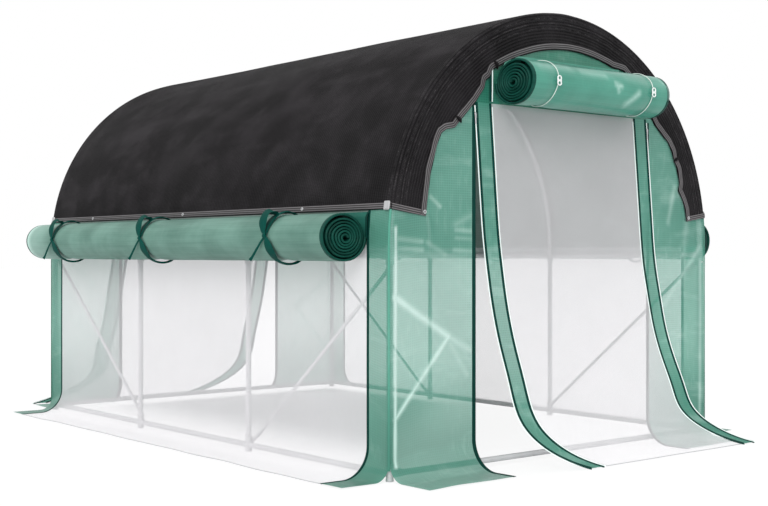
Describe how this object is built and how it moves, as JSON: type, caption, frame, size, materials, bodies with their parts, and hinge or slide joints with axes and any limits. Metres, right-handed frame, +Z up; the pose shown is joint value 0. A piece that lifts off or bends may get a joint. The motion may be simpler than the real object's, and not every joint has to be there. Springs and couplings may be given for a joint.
{
  "type": "plastic greenhouse",
  "caption": "Walk-in tunnel greenhouse with a steel hoop frame, net walls, rolled green curtains and doors, swept net doors and a black shade net.",
  "frame": {"origin": "on the ground at the centre of the footprint", "axes": "+Z up, +Y along the tunnel from the front gable to the back, +X to the right seen from the front"},
  "size_m": [2.501, 3.6368, 1.9593],
  "materials": {
    "black_net": "matte knitted net",
    "dark_ribbon": "matte woven ribbon",
    "green_sheet": "satin film with a woven grid",
    "green_strip": "satin film with a woven grid",
    "white_cord": "matte",
    "white_net": "matte woven net",
    "white_tube": "satin powder coat",
    "zip_metal": "satin"
  },
  "bodies": {
    "tent": {"arch_1": "white_tube", "arch_2": "white_tube", "arch_3": "white_tube", "arch_4": "white_tube", "back_ground_rail": "white_tube", "back_header": "green_sheet", "back_left_panel": "green_sheet", "back_left_strap": "white_cord", "back_right_panel": "green_sheet", "back_right_strap": "white_cord", "front_ground_rail": "white_tube", "front_header": "green_sheet", "front_left_panel": "green_sheet", "front_left_strap": "white_cord", "front_right_panel": "green_sheet", "front_right_strap": "white_cord", "left_back_brace": "white_tube", "left_back_corner_strip": "green_strip", "left_curtain_sheet": "green_sheet", "left_front_brace": "white_tube", "left_front_corner_strip": "green_strip", "left_ground_rail": "white_tube", "left_leg_1": "white_tube", "left_leg_2": "white_tube", "left_leg_3": "white_tube", "left_leg_4": "white_tube", "left_net_wall": "white_net", "left_shoulder_rail": "white_tube", "left_tie_1": "dark_ribbon", "left_tie_2": "dark_ribbon", "left_tie_3": "dark_ribbon", "ridge_pole": "white_tube", "right_back_brace": "white_tube", "right_back_corner_strip": "green_strip", "right_curtain_sheet": "green_sheet", "right_front_brace": "white_tube", "right_front_corner_strip": "green_strip", "right_ground_rail": "white_tube", "right_leg_1": "white_tube", "right_leg_2": "white_tube", "right_leg_3": "white_tube", "right_leg_4": "white_tube", "right_net_wall": "white_net", "right_shoulder_rail": "white_tube", "right_tie_1": "dark_ribbon", "right_tie_2": "dark_ribbon", "right_tie_3": "dark_ribbon", "roof_cover": "green_sheet", "shade_cover": "black_net"},
    "left_curtain": {"left_curtain_roll": "green_sheet"},
    "right_curtain": {"right_curtain_roll": "green_sheet"},
    "front_door": {"front_door_roll": "green_sheet"},
    "back_door": {"back_door_roll": "green_sheet"},
    "front_net": {"front_net_door": "white_net"},
    "back_net": {"back_net_door": "white_net"},
    "front_left_zip": {"front_left_slider": "zip_metal"},
    "front_right_zip": {"front_right_slider": "zip_metal"},
    "back_left_zip": {"back_left_slider": "zip_metal"},
    "back_right_zip": {"back_right_slider": "zip_metal"}
  },
  "joints": [
    {"name": "left_curtain_drop", "type": "slide", "parent": "tent", "child": "left_curtain", "axis": [0, 0, -1], "range_m": [0, 0.7], "deforming": ["left_curtain_sheet", "left_tie_1", "left_tie_2", "left_tie_3"]},
    {"name": "right_curtain_drop", "type": "slide", "parent": "tent", "child": "right_curtain", "axis": [0, 0, -1], "range_m": [0, 0.7], "deforming": ["right_curtain_sheet", "right_tie_1", "right_tie_2", "right_tie_3"]},
    {"name": "front_door_drop", "type": "slide", "parent": "tent", "child": "front_door", "axis": [0, -0.04, -0.9992], "range_m": [0, 0.5], "deforming": ["front_left_strap", "front_right_strap"]},
    {"name": "back_door_drop", "type": "slide", "parent": "tent", "child": "back_door", "axis": [0, 0.04, -0.9992], "range_m": [0, 0.5], "deforming": ["back_left_strap", "back_right_strap"]},
    {"name": "front_net_swing", "type": "hinge", "parent": "tent", "child": "front_net", "pos_m": [0, -1.519, 1.53], "axis": [1, 0, 0], "range_deg": [-60, 0]},
    {"name": "front_left_zip_pull", "type": "slide", "parent": "front_net", "child": "front_left_zip", "axis": [0.0797, 0, -0.9968], "range_m": [0, 0.42]},
    {"name": "front_right_zip_pull", "type": "slide", "parent": "front_net", "child": "front_right_zip", "axis": [0.0975, 0, -0.9952], "range_m": [0, 0.42]},
    {"name": "back_net_swing", "type": "hinge", "parent": "tent", "child": "back_net", "pos_m": [0, 1.519, 1.53], "axis": [-1, 0, 0], "range_deg": [-60, 0]},
    {"name": "back_left_zip_pull", "type": "slide", "parent": "back_net", "child": "back_left_zip", "axis": [-0.0797, 0, -0.9968], "range_m": [0, 0.42]},
    {"name": "back_right_zip_pull", "type": "slide", "parent": "back_net", "child": "back_right_zip", "axis": [-0.0975, 0, -0.9952], "range_m": [0, 0.42]}
  ]
}
